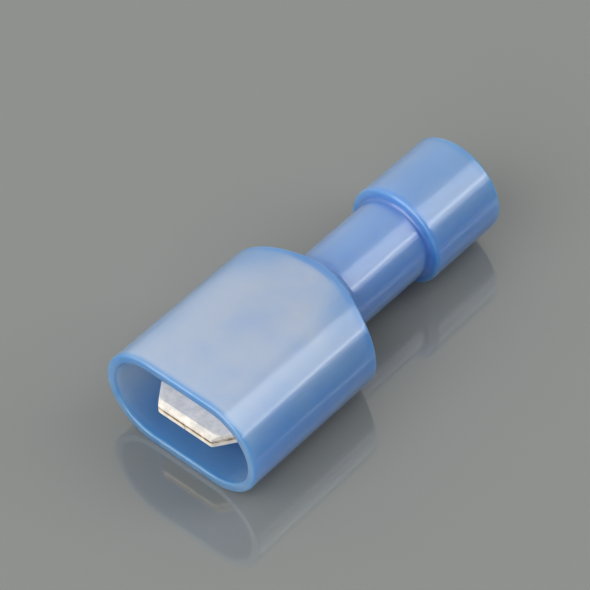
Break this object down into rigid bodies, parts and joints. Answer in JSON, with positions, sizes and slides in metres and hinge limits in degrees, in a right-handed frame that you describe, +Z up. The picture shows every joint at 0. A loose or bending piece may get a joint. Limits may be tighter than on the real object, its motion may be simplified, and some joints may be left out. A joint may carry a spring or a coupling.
{
  "type": "fully insulated male spade terminal",
  "caption": "Crimp-on male spade terminal: a folded, tinned sheet-metal tab with a rolled barrel, inside a flat blue nylon hood with a crimping neck and a wire collar.",
  "frame": {"origin": "under the middle of the length and width, on the surface that the hood's flat underside rests on", "axes": "+X along the terminal's axis, out of the hood's mouth; +Y across the flat tab; +Z up, square to the tab"},
  "size_m": [0.0236, 0.0108, 0.0065],
  "materials": {
    "nylon": "translucent blue moulded nylon, softly glossy",
    "tinned_brass": "bright tin plate on stamped brass sheet"
  },
  "bodies": {
    "root": {"housing": "nylon", "terminal": "tinned_brass"}
  },
  "joints": []
}
